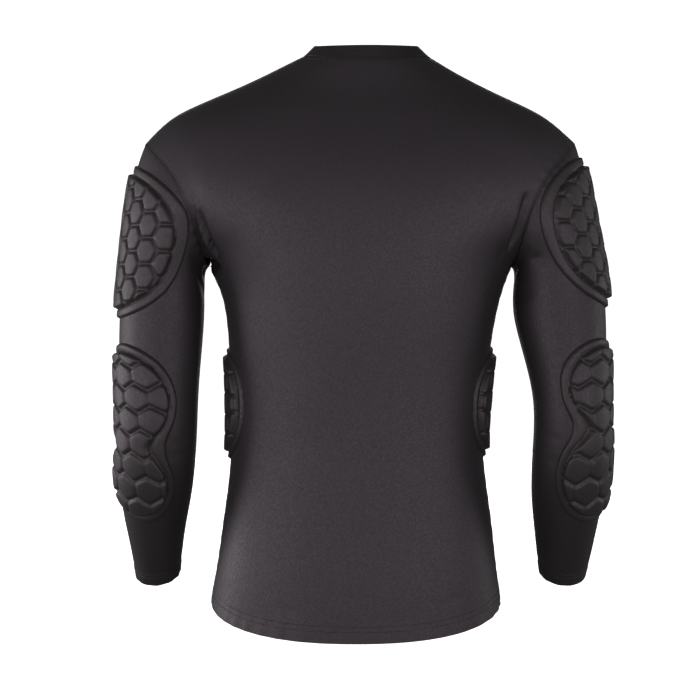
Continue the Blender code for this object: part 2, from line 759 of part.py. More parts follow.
def pad_mesh(lay, tree, distance, cells, centre_q, edge_count):
    """Closed pad: plain underside, thin flange and raised cells."""
    top = edge_points(distance, centre_q, FLANGE_CHAMFER, edge_count)
    lifts = [PAD_SEAT_GAP + FLANGE_THICKNESS] * edge_count
    edges = loop_edges(0, edge_count)
    foot = cells.size - GROOVE / math.sqrt(3)
    for centre in cell_centres(distance, cells):
        corners = cell_corners(distance, centre, foot, cells)
        middle = (sum(p for p, q in corners) / 6, sum(q for p, q in corners) / 6)
        shrink = 1 - CELL_BEVEL / foot
        crown = [
            tuple(m + (c - m) * shrink for m, c in zip(middle, corner)) for corner in corners
        ]
        for ring, lift in ((corners, FLANGE_THICKNESS), (crown, CELL_HEIGHT)):
            edges += loop_edges(len(top), len(ring))
            top += ring
            lifts += [PAD_SEAT_GAP + lift] * len(ring)
    top_faces = flat_triangles(top, edges, list(range(edge_count)))

    under = edge_points(distance, centre_q, 0, edge_count)
    for i in range(-PAD_GRID_REACH, PAD_GRID_REACH + 1):
        for j in range(-PAD_GRID_REACH, PAD_GRID_REACH + 1):
            p = (i + 0.5 * (j % 2)) * UNDERSIDE_SPACING
            q = centre_q + j * UNDERSIDE_SPACING
            if distance(p, q) < -UNDERSIDE_SPACING / 2:
                under.append((p, q))
    under_faces = flat_triangles(under, loop_edges(0, edge_count), list(range(edge_count)))
    laid_under, under_lifts = eased_out(tree, lay, under, under_faces)
    for k in range(edge_count):
        lifts[k] += under_lifts[k] - PAD_SEAT_GAP

    vertices = [lay(p, q, lift) for (p, q), lift in zip(top, lifts)]
    start = len(vertices)
    vertices += laid_under
    faces = [tuple(face) for face in top_faces]
    faces += [tuple(start + k for k in reversed(face)) for face in under_faces]
    for j, k in loop_edges(0, edge_count):
        faces.append((k, j, start + j, start + k))
    return vertices, faces


def facing_out(vertices, faces):
    volume = sum(
        vertices[face[0]].dot(vertices[face[k]].cross(vertices[face[k + 1]]))
        for face in faces
        for k in range(1, len(face) - 1)
    )
    return faces if volume > 0 else [tuple(reversed(face)) for face in faces]


def make_pad(name, side, tree, ray, distance, cells, centre_q, edge_count):
    def lay(p, q, lift):
        return laid_point(tree, lambda a, b: ray(side, a, b), p, q, lift)

    vertices, faces = pad_mesh(lay, tree, distance, cells, centre_q, edge_count)
    return make_object(name, vertices, facing_out(vertices, faces), PAD_CHARCOAL, PAD_ROUGHNESS)


def clear_scene():
    for item in list(bpy.data.objects):
        bpy.data.objects.remove(item, do_unlink=True)


def make_shirt():
    back, front = panel_grid("back"), panel_grid("front")
    sleeves = {}
    for side in ("left", "right"):
        sleeves[side] = creased_sleeve(sleeve_grid(side, armhole_loop(side, back, front)))
    back, front = creased_panel("back", back), creased_panel("front", front)
    panels = {"back": back, "front": front}
    band = neck_grid(back, front)

    for face, grid in panels.items():
        shape = pulled_back(grid, ("last",), True)
        normals = panel_normals(face, panels, sleeves, band)
        finish = (BODY_CHARCOAL, KNIT_ROUGHNESS)
        make_wall(face, shape, normals, False, face == "front", CLOTH_WALL, finish)
    for side, grid in sleeves.items():
        shape = pulled_back(grid, ("first",), False)
        normals = sleeve_normals(side, panels, grid)
        finish = (SLEEVE_CHARCOAL, KNIT_ROUGHNESS)
        make_wall("sleeve_" + side, shape, normals, True, side == "left", CLOTH_WALL, finish)
    shape = pulled_back(band, ("first",), False)
    normals = band_normals(band, panels)
    make_wall("neck_band", shape, normals, True, False, BAND_WALL, (BAND_CHARCOAL, BAND_ROUGHNESS))

    for side, grid in sleeves.items():
        arm_tree = outer_tree([(grid, True), (back, False), (front, False)])
        body_tree = outer_tree([(back, False), (front, False)])
        shoulder, elbow, rib = SHOULDER_PADS[side], ELBOW_PADS[side], RIB_PADS[side]
        make_pad(
            "shoulder_pad_" + side, side, arm_tree, shoulder_ray, oval_distance(shoulder),
            shoulder.cells, 0, SHOULDER_PAD_EDGE_POINTS,
        )
        make_pad(
            "elbow_pad_" + side, side, arm_tree, elbow_ray, peanut_distance(elbow),
            elbow.cells, -elbow.spacing / 2, ELBOW_PAD_EDGE_POINTS,
        )
        make_pad(
            "rib_pad_" + side, side, body_tree, rib_ray, oval_distance(rib),
            rib.cells, 0, RIB_PAD_EDGE_POINTS,
        )


clear_scene()
make_shirt()
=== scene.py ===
"""Padded compression shirt: cloth, pads, stitching, finishes, stage and camera."""

import math
from collections import namedtuple

import bpy
import numpy as np
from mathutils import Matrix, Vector, noise
from mathutils.bvhtree import BVHTree


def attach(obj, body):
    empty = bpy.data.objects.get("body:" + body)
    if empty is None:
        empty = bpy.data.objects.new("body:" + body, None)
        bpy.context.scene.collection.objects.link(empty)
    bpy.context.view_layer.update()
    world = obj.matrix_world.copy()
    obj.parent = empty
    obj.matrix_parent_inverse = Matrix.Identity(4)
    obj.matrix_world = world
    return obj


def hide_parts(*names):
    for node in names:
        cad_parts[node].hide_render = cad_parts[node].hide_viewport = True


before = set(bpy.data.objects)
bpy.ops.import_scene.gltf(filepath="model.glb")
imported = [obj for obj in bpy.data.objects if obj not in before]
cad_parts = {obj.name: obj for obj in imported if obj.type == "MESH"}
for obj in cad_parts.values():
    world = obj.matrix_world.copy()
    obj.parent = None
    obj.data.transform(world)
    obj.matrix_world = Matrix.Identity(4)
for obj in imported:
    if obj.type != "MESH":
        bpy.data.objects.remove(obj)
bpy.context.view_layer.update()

SIDES = {"left": -1, "right": 1}

# Cloth
KNIT_THICKNESS = 0.0009
BAND_THICKNESS = 0.0018
CLOTH_LEVELS = 3
# Open edges this near another piece are drawn onto it
SEAM_GAP_REACH = 0.0012
# A face of a solid with a side shorter than this belongs to its rim
RIM_EDGE = {"cloth": 0.0019, "band": 0.0025}
UNEVENNESS = 0.0005
UNEVENNESS_SIZE = 0.06

# Hem and cuffs, turned up and stitched
HEM_DEPTH = 0.020
CUFF_DEPTH = 0.018
TURN_UP_LIFT = 0.0005
STITCH_CHANNELS = (0.62, 0.93)
CHANNEL_WIDTH = 0.0012
TURN_UP_SOFTNESS = 0.0007

# Where the seams run, to pick them out of the pieces' open edges
HEM_SIDE = -0.619
SIDE_SEAM_HEIGHTS = (-0.6185, -0.234)
ARMHOLE_HEIGHTS = (-0.2335, -0.0885)
SHOULDER_SEAM_BOTTOM = -0.0888
NECKLINE_BOTTOM = -0.0800
NECKLINE_HALF_WIDTH = 0.0752
NECK_CORNER_X = {"left": -0.067, "right": 0.083}
NECK_MIDDLE_X = 0.008
BODY_SIDE_X = 0.1
EDGE_SLACK = 0.0002
BAND_JOIN_X = 0.002
BAND_JOIN_HEIGHTS = (0.004, 0.0185)
UNDERARM_SEAM_HEIGHTS = (-0.252, -0.584)

# Gathers beside a seam: how far they reach, how far apart they are, their height and the seam's dip
Gathers = namedtuple("Gathers", "reach pitch height dip")
HEM_GATHERS = Gathers(0.016, 0.021, 0.0005, 0)
CUFF_GATHERS = Gathers(0.012, 0.014, 0.0004, 0)
ARMHOLE_GATHERS = Gathers(0.010, 0.013, 0.0004, 0.0004)
SIDE_GATHERS = Gathers(0.008, 0.017, 0.0003, 0.0003)
SHOULDER_GATHERS = Gathers(0.006, 0.012, 0.0002, 0.0003)

# Soft troughs and ridges, laid one by one. Places are (x, z) on the body and (degrees round the arm
# from its outside, by the back, z) on a sleeve; a negative depth is a ridge.
Fold = namedtuple("Fold", "piece start end half_width depth")
FOLDS = (
    # back, at the left armpit
    Fold("back", (-0.184, -0.165), (-0.171, -0.215), 0.0050, -0.0060),
    Fold("back", (-0.181, -0.175), (-0.164, -0.224), 0.0034, 0.0100),
    Fold("back", (-0.189, -0.200), (-0.165, -0.234), 0.0070, 0.0160),
    Fold("back", (-0.168, -0.160), (-0.156, -0.212), 0.0100, 0.0010),
    # back, at the right armpit
    Fold("back", (0.188, -0.156), (0.170, -0.214), 0.0042, 0.0095),
    Fold("back", (0.179, -0.170), (0.163, -0.214), 0.0060, -0.0016),
    Fold("back", (0.172, -0.190), (0.158, -0.226), 0.0060, 0.0016),
    # back, long soft pulls
    Fold("back", (-0.120, -0.150), (-0.150, -0.260), 0.018, 0.0010),
    Fold("back", (0.128, -0.160), (0.150, -0.270), 0.018, 0.0010),
    Fold("back", (-0.060, -0.440), (-0.140, -0.470), 0.016, 0.0008),
    Fold("back", (0.050, -0.455), (0.138, -0.478), 0.016, 0.0008),
    # back, short wrinkles at the hem
    Fold("back", (-0.006, -0.625), (0.022, -0.629), 0.003, 0.0007),
    Fold("back", (0.030, -0.633), (0.052, -0.630), 0.003, 0.0006),
    Fold("back", (-0.090, -0.618), (-0.066, -0.624), 0.004, 0.0007),
    Fold("back", (0.094, -0.612), (0.120, -0.606), 0.004, 0.0007),
    # front, as on the back, uneven
    Fold("front", (-0.190, -0.180), (-0.172, -0.222), 0.007, 0.0032),
    Fold("front", (-0.178, -0.182), (-0.158, -0.220), 0.008, -0.0012),
    Fold("front", (0.189, -0.172), (0.174, -0.218), 0.007, 0.0030),
    Fold("front", (0.176, -0.186), (0.152, -0.222), 0.008, 0.0014),
    Fold("front", (-0.110, -0.150), (-0.142, -0.262), 0.020, 0.0010),
    Fold("front", (0.104, -0.158), (0.144, -0.262), 0.020, 0.0010),
    Fold("front", (0.040, -0.450), (0.130, -0.480), 0.016, 0.0009),
    Fold("front", (-0.052, -0.462), (-0.132, -0.470), 0.014, 0.0009),
    Fold("front", (-0.020, -0.618), (0.014, -0.622), 0.004, 0.0007),
    # sleeves, under the arms behind
    Fold("sleeve_left", (142, -0.200), (178, -0.238), 0.008, 0.0120),
    Fold("sleeve_left", (128, -0.226), (176, -0.264), 0.007, 0.0022),
    Fold("sleeve_right", (116, -0.224), (176, -0.230), 0.0045, 0.0036),
    Fold("sleeve_right", (120, -0.212), (168, -0.218), 0.0050, -0.0014),
    Fold("sleeve_right", (126, -0.262), (170, -0.276), 0.008, 0.0016),
    # sleeves, gathered at the waist of the elbow pads
    Fold("sleeve_right", (104, -0.424), (140, -0.420), 0.0035, 0.0011),
    Fold("sleeve_right", (100, -0.434), (144, -0.432), 0.0035, 0.0013),
    Fold("sleeve_right", (102, -0.444), (138, -0.446), 0.0035, 0.0010),
    Fold("sleeve_left", (108, -0.428), (142, -0.424), 0.0035, 0.0009),
    Fold("sleeve_left", (106, -0.440), (146, -0.440), 0.0040, 0.0010),
    # sleeves, in the crook of the elbow
    Fold("sleeve_left", (230, -0.386), (312, -0.380), 0.006, 0.0022),
    Fold("sleeve_left", (236, -0.404), (318, -0.400), 0.006, 0.0026),
    Fold("sleeve_left", (228, -0.421), (306, -0.424), 0.006, 0.0020),
    Fold("sleeve_right", (234, -0.382), (310, -0.386), 0.006, 0.0022),
    Fold("sleeve_right", (228, -0.402), (316, -0.404), 0.006, 0.0026),
    Fold("sleeve_right", (236, -0.424), (312, -0.418), 0.006, 0.0020),
    # sleeves, pulls along the forearm and at the cuff
    Fold("sleeve_left", (120, -0.480), (150, -0.556), 0.008, 0.0008),
    Fold("sleeve_right", (124, -0.476), (148, -0.560), 0.008, 0.0009),
    Fold("sleeve_right", (150, -0.575), (196, -0.580), 0.004, 0.0006),
    Fold("sleeve_left", (146, -0.572), (190, -0.578), 0.004, 0.0006),
)

# Middle line of the bent arm and its outer and inner points, by height
ArmRow = namedtuple("ArmRow", "height left_outer left_inner right_outer right_inner centre_y tilt")
ARM = (
    ArmRow(-0.089, 0.251, 0.177, 0.251, 0.177, 0.000, 0),
    ArmRow(-0.112, 0.260, 0.180, 0.259, 0.180, -0.001, 0),
    ArmRow(-0.138, 0.265, 0.181, 0.264, 0.181, -0.002, 0),
    ArmRow(-0.165, 0.269, 0.181, 0.269, 0.180, -0.003, 0),
    ArmRow(-0.193, 0.272, 0.181, 0.274, 0.180, -0.004, 0),
    ArmRow(-0.222, 0.275, 0.181, 0.280, 0.179, -0.005, 0),
    ArmRow(-0.252, 0.278, 0.181, 0.285, 0.178, -0.006, 0),
    ArmRow(-0.290, 0.281, 0.181, 0.287, 0.178, -0.009, 0),
    ArmRow(-0.330, 0.281, 0.184, 0.287, 0.188, -0.013, 2),
    ArmRow(-0.370, 0.279, 0.187, 0.286, 0.199, -0.018, 5),
    ArmRow(-0.405, 0.278, 0.188, 0.286, 0.202, -0.020, 9),
    ArmRow(-0.440, 0.280, 0.190, 0.288, 0.201, -0.016, 15),
    ArmRow(-0.475, 0.282, 0.193, 0.288, 0.200, -0.004, 22),
    ArmRow(-0.507, 0.281, 0.199, 0.285, 0.201, 0.011, 27),
    ArmRow(-0.540, 0.276, 0.206, 0.280, 0.206, 0.029, 30),
    ArmRow(-0.568, 0.272, 0.211, 0.276, 0.210, 0.045, 30),
    ArmRow(-0.597, 0.269, 0.215, 0.271, 0.215, 0.062, 30),
)

# Pads: a bonded flange round raised six-sided cells. A cell's size is from its middle to a corner,
# squeeze is across the pad and start is where one cell sits. A high flange power keeps the flange
# flat, and an end share below 1 makes the grooves between the cells of one row faint.
Cells = namedtuple("Cells", "size points_up squeeze start_p start_q flange flange_power end_share")
PAD_SEAT = 0.0004
FLANGE_LIFT = 0.0030
FLANGE_EDGE_SHARE = 0.45
FLANGE_ROUNDING = 0.0020
CELL_LIFT = 0.0084
GROOVE = 0.0016
GROOVE_FLOOR = 0.0050
PAD_STEP = 0.0030
CELL_SHOULDER = 0.0034
CELL_ROUNDING = 2.2
CELL_DOME = 0.12
CELL_EDGE_BLEND = 0.0016
CORNER_SHARPNESS = 12
PAD_SPACING = 0.0012
PAD_TRIM_SHARE = 0.3
SLOPE_STEP = 1e-5
PAD_OVAL_POWER = 2.4
OVAL_GRID_SHARE = 1.03

# An oval pad: height and turn place its middle, lean tips its long way
OvalPad = namedtuple("OvalPad", "half_width half_height height turn lean cells")
SHOULDER_PADS = {
    "left": OvalPad(
        0.1273, 0.0881, -0.2035, 86.8, 6.9, Cells(0.0170, False, 0.855, 0.0055, 0.0157, 0.0095, 6, 1.0)
    ),
    "right": OvalPad(
        0.1273, 0.0878, -0.1932, 95.4, 0.3, Cells(0.0170, False, 0.855, 0.0065, 0.0095, 0.0095, 6, 1.0)
    ),
}
SHOULDER_ARM_RADIUS = 0.066
SHOULDER_AXIS_INSET = 0.050
SHOULDER_AXIS_BACK = 0.004

# An elbow pad: two round lobes, each turned round the arm, stretched on its back and front halves
ElbowPad = namedtuple(
    "ElbowPad",
    "upper_lobe lower_lobe spacing waist_blend upper_height upper_turn lower_turn "
    "back_stretch front_stretch cells",
)
ELBOW_PADS = {
    "left": ElbowPad(
        0.0589, 0.0469, 0.0897, 0.0302, -0.3799, 43.3, 26.5, 1.02, 1.25,
        Cells(0.0158, True, 1.0, -0.0165, -0.0473, 0.0088, 2, 0.90),
    ),
    "right": ElbowPad(
        0.0532, 0.0587, 0.0934, 0.0258, -0.3682, 49.8, 47.3, 1.05, 1.05,
        Cells(0.0166, True, 1.0, -0.0236, -0.0590, 0.0088, 2, 0.90),
    ),
}
ELBOW_ARM_RADIUS = 0.048

RIB_PADS = {
    "left": OvalPad(
        0.0836, 0.0660, -0.3920, 7, 0.0, Cells(0.0160, True, 1.0, 0.0, 0.0, 0.0070, 2, 0.95)
    ),
    "right": OvalPad(
        0.0836, 0.0650, -0.3890, 7, 7.0, Cells(0.0160, True, 1.0, 0.0, 0.0, 0.0070, 2, 0.95)
    ),
}
RIB_BODY_RADIUS = 0.155

# Stitching
STITCH_WIDTH = 0.00055
STITCH_RISE = 0.00030
FLATLOCK_REACH = 0.0024
FLATLOCK_PITCH = 0.0024
COVER_PITCH = 0.0030
COVER_ROWS = (0.0130, 0.0190)
CUFF_ROWS = (0.0120, 0.0170)
SEAM_SPACING = 0.004
CUFF_SPACING = 0.003
STITCH_SEAT = 0.00005
STITCH_HALF_SHARE = 0.42

# Colours, linear
BODY_CHARCOAL = (0.0215, 0.0185, 0.0208, 1)
SLEEVE_CHARCOAL = (0.0200, 0.0175, 0.0192, 1)
BAND_CHARCOAL = (0.0165, 0.0152, 0.0160, 1)
PAD_CHARCOAL = (0.0240, 0.0218, 0.0226, 1)
THREAD_CHARCOAL = (0.0250, 0.0225, 0.0238, 1)
SHEEN = 0.02
SPECULAR_TINT = (1.0, 0.86, 0.96, 1)
STAGE_WHITE = (0.93, 0.93, 0.93, 1)

# Softboxes round the shirt: degrees from the camera's side, height over its middle, distance,
# size and power
Light = namedtuple("Light", "name turn height distance size power")
LIGHTS = (
    Light("key_left", -48, 0.05, 2.8, (2.4, 0.9), 20),
    Light("key_right", 42, 0.05, 2.8, (2.4, 0.9), 15),
    Light("camera_fill", 0, 0.05, 3.0, (2.6, 0.9), 12),
    Light("rim_left", -100, 0.10, 2.4, (1.4, 1.0), 20),
    Light("rim_right", 104, 0.10, 2.4, (1.4, 1.0), 7),
    Light("front_fill", 180, 0.70, 3.0, (2.0, 2.0), 26),
)
# Light of the room on the shirt; the camera sees the room as white
WORLD_STRENGTH = 0.08
STUDIO_MIDDLE = (-0.01, 0, -0.34)
CAMERA_PLACE = (-0.0117, -2.4, -0.330)
CAMERA_LENS = 105.5
CAMERA_SENSOR = 36

# Sweep: floor size and height, then the wall's height and the bend between them
SWEEP_SIZE = (14, 8, 1)
SWEEP_FLOOR = -0.80
SWEEP_WALL = 6
SWEEP_BEND = 1.5

# Numbered sockets of a colour mix, whose names repeat
MIX_FIRST, MIX_SECOND, MIX_RESULT = 6, 7, 2


def only_nothing():
    bpy.ops.object.select_all(action="DESELECT")


def only(*objects):
    """Selects just these objects and makes the first one active."""
    only_nothing()
    for item in objects:
        item.select_set(True)
    bpy.context.view_layer.objects.active = objects[0]


def new_object(name, mesh):
    item = bpy.data.objects.new(name, mesh)
    bpy.context.scene.collection.objects.link(item)
    return item


def mesh_from(name, points, faces):
    mesh = bpy.data.meshes.new(name)
    mesh.from_pydata([tuple(point) for point in points], [], faces)
    mesh.update()
    return mesh


def places_of(mesh):
    places = np.empty(len(mesh.vertices) * 3)
    mesh.vertices.foreach_get("co", places)
    return places.reshape(-1, 3)


def normals_of(mesh):
    normals = np.empty(len(mesh.vertices) * 3)
    mesh.vertex_normals.foreach_get("vector", normals)
    return normals.reshape(-1, 3)


def set_places(mesh, places):
    mesh.vertices.foreach_set("co", np.ascontiguousarray(places).ravel())
    mesh.update()


def apply_modifier(item, kind, **settings):
    only(item)
    modifier = item.modifiers.new(kind.lower(), kind)
    for key, value in settings.items():
        setattr(modifier, key, value)
    bpy.ops.object.modifier_apply(modifier=modifier.name)


# Cloth pieces


def outer_face(node, name, rim_edge):
    """The outer face of a cut piece as clean quads: a merged copy without its rim and inner face."""
    piece = new_object(name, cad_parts[node].data.copy())
    piece.data.materials.clear()
    only(piece)
    bpy.ops.object.mode_set(mode="EDIT")
    bpy.ops.mesh.select_mode(type="FACE")
    bpy.ops.mesh.select_all(action="SELECT")
    bpy.ops.mesh.remove_doubles(threshold=0.00002)
    bpy.ops.mesh.select_all(action="DESELECT")
    bpy.ops.object.mode_set(mode="OBJECT")
    places = places_of(piece.data)
    for face in piece.data.polygons:
        corners = places[list(face.vertices)]
        sides = np.linalg.norm(corners - np.roll(corners, 1, axis=0), axis=1)
        face.select = bool(sides.min() < rim_edge)
    bpy.ops.object.mode_set(mode="EDIT")
    bpy.ops.mesh.delete(type="FACE")
    bpy.ops.mesh.select_all(action="SELECT")
    bpy.ops.mesh.separate(type="LOOSE")
    bpy.ops.object.mode_set(mode="OBJECT")
    shells = list(bpy.context.selected_objects)
    shells.sort(key=lambda shell: -sum(face.area for face in shell.data.polygons))
    for inner in shells[1:]:
        bpy.data.objects.remove(inner)
    piece = shells[0]
    piece.name = name
    only(piece)
    bpy.ops.object.mode_set(mode="EDIT")
    bpy.ops.mesh.select_all(action="SELECT")
    bpy.ops.mesh.tris_convert_to_quads(
        face_threshold=math.radians(60), shape_threshold=math.radians(60)
    )
    bpy.ops.mesh.customdata_custom_splitnormals_clear()
    bpy.ops.object.mode_set(mode="OBJECT")
    return piece


def smoothed(piece, levels):
    apply_modifier(
        piece, "SUBSURF", levels=levels, render_levels=levels, boundary_smooth="PRESERVE_CORNERS"
    )


def thickened(piece, thickness):
    apply_modifier(piece, "SOLIDIFY", thickness=thickness, offset=-1, use_even_offset=True)
    only(piece)
    bpy.ops.object.shade_smooth_by_angle(angle=math.radians(50))


def open_edges(mesh):
    """The pairs of points whose edge has a face on one side only."""
    faces_on = {}
    for face in mesh.polygons:
        for key in face.edge_keys:
            faces_on[key] = faces_on.get(key, 0) + 1
    return [key for key, count in faces_on.items() if count == 1]


def meet_neighbours(piece, tree):
    """Closes the hair gap of a seam: the piece's open edges move onto the cloth just beside them."""
    for k in sorted({k for key in open_edges(piece.data) for k in key}):
        vertex = piece.data.vertices[k]
        nearest = tree.find_nearest(vertex.co)
        if nearest[3] < SEAM_GAP_REACH:
            vertex.co = nearest[0]
    piece.data.update()


def edge_loops(mesh):
    """The open edges of a piece as loops of points, each in order round its hole."""
    beside = {}
    for a, b in open_edges(mesh):
        beside.setdefault(a, []).append(b)
        beside.setdefault(b, []).append(a)
    loops, left = [], set(beside)
    while left:
        start = min(left)
        loop, here, before = [start], start, None
        left.discard(start)
        while True:
            onward = [k for k in beside[here] if k != before and k in left]
            if not onward:
                break
            before, here = here, onward[0]
            left.discard(here)
            loop.append(here)
        loops.append([mesh.vertices[k].co.copy() for k in loop])
    return loops


def run_of(loop, test):
    """The stretch of a loop whose points pass the test, in order."""
    passing = [test(point) for point in loop]
    count = len(loop)
    if all(passing):
        return loop + loop[:1]
    start = next(k for k in range(count) if passing[k] and not passing[k - 1])
    stretch = []
    while passing[(start + len(stretch)) % count] and len(stretch) < count:
        stretch.append(loop[(start + len(stretch)) % count])
    return stretch


def tree_of(*items):
    """Search tree over the faces of some pieces."""
    points, faces = [], []
    for item in items:
        start = len(points)
        points += [vertex.co.copy() for vertex in item.data.vertices]
        faces += [tuple(start + k for k in face.vertices) for face in item.data.polygons]
    return BVHTree.FromPolygons(points, faces)


def arm_value(column, height):
    """Value of a column of the arm table at one height or many."""
    rows = ARM[::-1]
    return np.interp(height, [row.height for row in rows], [getattr(row, column) for row in rows])


def arm_place(side, height):
    """Middle of the arm at some heights, and the two directions across it: outwards and backwards."""
    away, height = SIDES[side], np.asarray(height, dtype=float)
    centre = away * (arm_value(side + "_outer", height) + arm_value(side + "_inner", height)) / 2
    tilt = np.radians(arm_value("tilt", height))
    middle = np.stack([centre, arm_value("centre_y", height), height], axis=-1)
    outwards = np.stack([away + 0 * height, 0 * height, 0 * height], axis=-1)
    return middle, outwards, np.stack([0 * height, -np.cos(tilt), -np.sin(tilt)], axis=-1)


def fold_end(fold, place, tree):
    if fold.piece in ("back", "front"):
        facing = -1 if fold.piece == "back" else 1
        start = Vector((place[0], facing * 0.5, place[1]))
        hit = tree.ray_cast(start, Vector((0, -facing, 0)))[0]
        return hit or tree.find_nearest(Vector((place[0], 0, place[1])))[0]
    middle, outwards, backwards = arm_place(fold.piece.split("_")[1], place[1])
    turn = math.radians(place[0])
    direction = Vector(outwards * math.cos(turn) + backwards * math.sin(turn))
    hit = tree.ray_cast(Vector(middle), direction)[0]
    return hit or tree.find_nearest(Vector(middle))[0]


def fold_cloth(piece, node, tree):
    """Presses the troughs and ridges laid on this piece into it, with a slight overall unevenness."""
    places, normals = places_of(piece.data), normals_of(piece.data)
    push = np.array([noise.noise(Vector(p) / UNEVENNESS_SIZE) for p in places]) * UNEVENNESS
    for fold in FOLDS:
        if fold.piece != node:
            continue
        start = np.array(fold_end(fold, fold.start, tree))
        line = np.array(fold_end(fold, fold.end, tree)) - start
        share = np.clip((places - start) @ line / (line @ line), 0, 1)
        away = np.linalg.norm(places - start - share[:, None] * line, axis=1) / fold.half_width
        fade = np.sin(np.pi * (0.10 + 0.80 * share))
        push -= fold.depth * fade * np.exp(-away * away)
    set_places(piece.data, places + normals * push[:, None])


def distance_along(places, line):
    """For each place, how far it is from a line of points and how far along the line it falls."""
    points = np.array([tuple(p) for p in line])
    reach = np.concatenate([[0], np.cumsum(np.linalg.norm(np.diff(points, axis=0), axis=1))])
    nearest = np.full(len(places), 9.0)
    along = np.zeros(len(places))
    for a, b, start in zip(points[:-1], points[1:], reach):
        step = b - a
        share = np.clip((places - a) @ step / max(step @ step, 1e-12), 0, 1)
        away = np.linalg.norm(places - a - share[:, None] * step, axis=1)
        closer = away < nearest
        nearest[closer] = away[closer]
        along[closer] = start + share[closer] * math.sqrt(step @ step)
    return nearest, along


def gather(piece, line, gathers):
    """Small uneven gathers beside a seam, and the seam itself sunk a little."""
    reach, pitch, height, dip = gathers
    places, normals = places_of(piece.data), normals_of(piece.data)
    away, along = distance_along(places, line)
    wobble = np.sin(2 * np.pi * along / pitch + 2.3 * np.sin(along / 0.031))
    strength = 0.6 + 0.4 * np.sin(along / 0.047 + 1.0)
    push = height * wobble * strength * np.exp(-((away / reach) ** 2))
    push -= dip * np.exp(-((away / (0.35 * reach)) ** 2))
    set_places(piece.data, places + normals * push[:, None])


def turn_up(piece, line, depth):
    """Lifts the doubled cloth of a hem or cuff, with a soft step at its stitching."""
    places, normals = places_of(piece.data), normals_of(piece.data)
    away = distance_along(places, line)[0]
    step = 1 / (1 + np.exp((away - depth) / TURN_UP_SOFTNESS))
    rows = [share * depth for share in STITCH_CHANNELS]
    channel = sum(np.exp(-(((away - row) / CHANNEL_WIDTH) ** 2)) for row in rows)
    set_places(piece.data, places + normals * (TURN_UP_LIFT * (step - 0.9 * channel))[:, None])


# Pads


def oval_edge(pad):
    """Signed distance, near enough, from a full oval's edge: negative inside."""
    level, tip = math.cos(math.radians(pad.lean)), math.sin(math.radians(pad.lean))

    def distance(p, q):
        p, q = p * level + q * tip, q * level - p * tip
        wide = np.abs(p / pad.half_width) ** PAD_OVAL_POWER
        tall = np.abs(q / pad.half_height) ** PAD_OVAL_POWER
        return ((wide + tall) ** (1 / PAD_OVAL_POWER) - 1) * min(pad.half_width, pad.half_height)

    return distance


def peanut_edge(pad):
    """Signed distance, near enough, from an elbow pad's edge: two round lobes with a soft waist."""

    def distance(p, q):
        p = p / np.where(p < 0, pad.back_stretch, pad.front_stretch)
        upper = np.hypot(p, q) - pad.upper_lobe
        lower = np.hypot(p, q + pad.spacing) - pad.lower_lobe
        mix = np.clip(0.5 + 0.5 * (lower - upper) / pad.waist_blend, 0, 1)
        return lower + (upper - lower) * mix - pad.waist_blend * mix * (1 - mix)

    return distance


def shoulder_ray(side, p, q):
    """Level rays out of the upper arm's middle: p runs round towards the front, q upwards."""
    away, height = SIDES[side], SHOULDER_PADS[side].height + q
    turn = math.radians(SHOULDER_PADS[side].turn) + p / SHOULDER_ARM_RADIUS
    across = away * (arm_value(side + "_outer", height) - SHOULDER_AXIS_INSET)
    start = np.stack([across, np.full_like(height, -SHOULDER_AXIS_BACK), height], axis=-1)
    return start, np.stack([away * np.sin(turn), -np.cos(turn), 0 * turn], axis=-1)


def elbow_ray(side, p, q):
    """Rays square to the bent arm: p runs round towards the front, q up from the upper lobe."""
    pad, steps = ELBOW_PADS[side], 8
    height = np.full_like(q, pad.upper_height)
    for _ in range(steps):
        height = height + q / steps * np.cos(np.radians(arm_value("tilt", height)))
    degrees = pad.upper_turn - (pad.lower_turn - pad.upper_turn) * q / pad.spacing
    turn = np.radians(degrees) + p / ELBOW_ARM_RADIUS
    middle, outwards, backwards = arm_place(side, height)
    return middle, outwards * np.sin(turn)[:, None] + backwards * np.cos(turn)[:, None]


def rib_ray(side, p, q):
    """Level rays out of the body's middle: p runs round towards the front, q upwards."""
    turn = math.radians(RIB_PADS[side].turn) + p / RIB_BODY_RADIUS
    start = np.stack([0 * p - 0.002, 0 * p, RIB_PADS[side].height + q], axis=-1)
    return start, np.stack([SIDES[side] * np.cos(turn), np.sin(turn), 0 * p], axis=-1)


def cell_depth(p, q, cells):
    """How deep each place lies inside its own six-sided cell, with soft corners."""
    p, q = (p - cells.start_p) / cells.squeeze, q - cells.start_q
    along, across = (p, q) if cells.points_up else (q, p)
    wide, tall = math.sqrt(3) * cells.size, 1.5 * cells.size
    deepest = np.full(p.shape, -1.0)
    for shift in (-1, 0, 1):
        j = np.round(across / tall) + shift
        i = np.round(along / wide - 0.5 * (j % 2))
        a, b = along - (i + 0.5 * (j % 2)) * wide, across - j * tall
        turned = (a * cells.end_share, a / 2 + b * math.sqrt(0.75), a / 2 - b * math.sqrt(0.75))
        size = sum(np.abs(t) ** CORNER_SHARPNESS for t in turned) ** (1 / CORNER_SHARPNESS)
        deepest = np.maximum(deepest, cells.size * math.sqrt(0.75) - GROOVE / 2 - size)
    return deepest


def soft_least(a, b, blend):
    """The smaller of two values, rounded where they are nearly equal."""
    mix = np.clip(0.5 + 0.5 * (b - a) / blend, 0, 1)
    return b + (a - b) * mix - blend * mix * (1 - mix)


